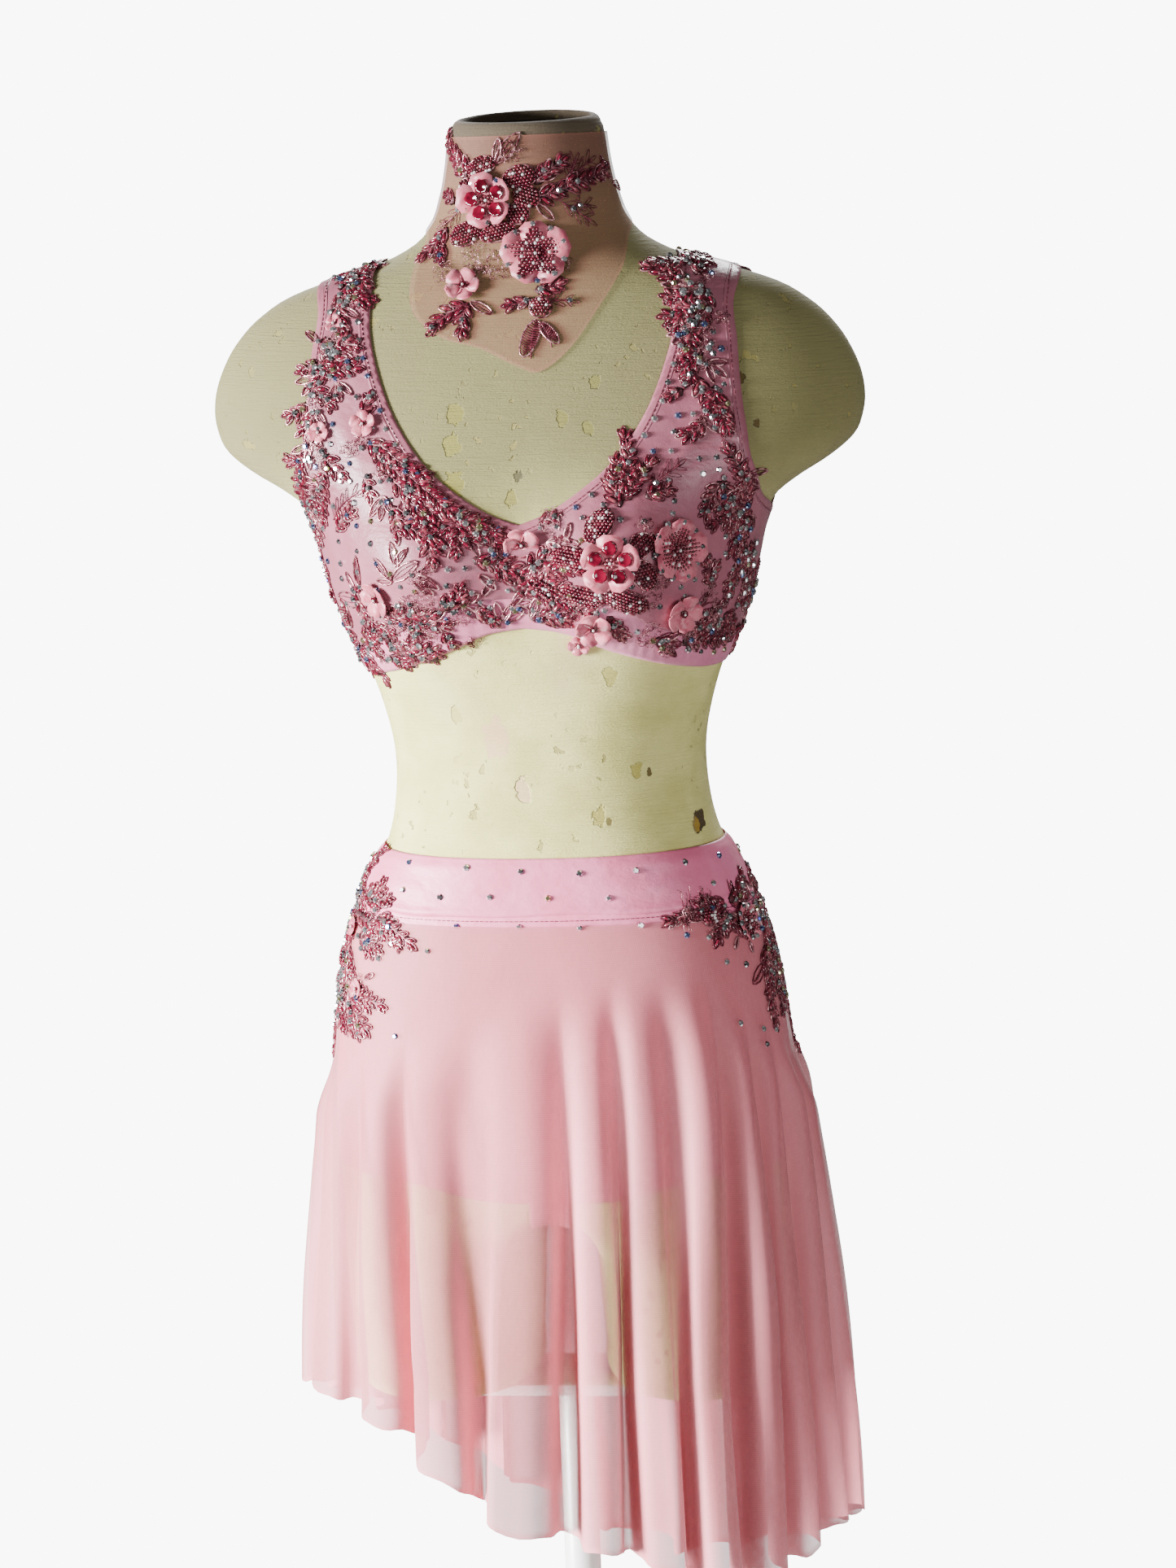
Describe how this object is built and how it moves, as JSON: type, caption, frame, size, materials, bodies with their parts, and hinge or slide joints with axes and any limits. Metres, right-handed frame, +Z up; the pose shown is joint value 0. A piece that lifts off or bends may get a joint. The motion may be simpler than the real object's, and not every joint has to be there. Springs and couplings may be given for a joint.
{
  "type": "lyrical dance costume on dress form",
  "caption": "Two-piece lyrical dance costume with a beaded cropped top, a sheer neck piece and a sheer slanting skirt over briefs, worn by a limbless dress form on a stand.",
  "frame": {"origin": "centre of the underside of the stand's round foot, on the floor", "axes": "+Z up, the costume's front faces -Y, +X is to the right of a person who looks at the front"},
  "size_m": [0.4404, 0.36, 1.256],
  "materials": {
    "dress_form": "cream cloth-covered form, matt",
    "stand_base": "pale satin paint",
    "stand_pole": "pale satin paint",
    "stand_plate": "pale satin paint",
    "neck_piece": "sheer stretch mesh with beaded lace applique",
    "top_front": "pink satin spandex with beaded lace applique",
    "top_back": "pink satin spandex",
    "underband_front": "pink satin over elastic",
    "underband_back": "pink satin over elastic",
    "waistband_front": "pink satin spandex with beaded lace applique at the hips",
    "waistband_back": "pink satin spandex",
    "briefs_front": "pink satin spandex",
    "briefs_back": "pink satin spandex",
    "skirt_front": "sheer stretch mesh",
    "skirt_back": "sheer stretch mesh"
  },
  "bodies": {
    "root": {"dress_form": "dress_form", "stand_base": "stand_base", "stand_pole": "stand_pole", "stand_plate": "stand_plate", "neck_piece": "neck_piece", "top_front": "top_front", "top_back": "top_back", "underband_front": "underband_front", "underband_back": "underband_back", "waistband_front": "waistband_front", "waistband_back": "waistband_back", "briefs_front": "briefs_front", "briefs_back": "briefs_back", "skirt_front": "skirt_front", "skirt_back": "skirt_back"}
  },
  "joints": []
}
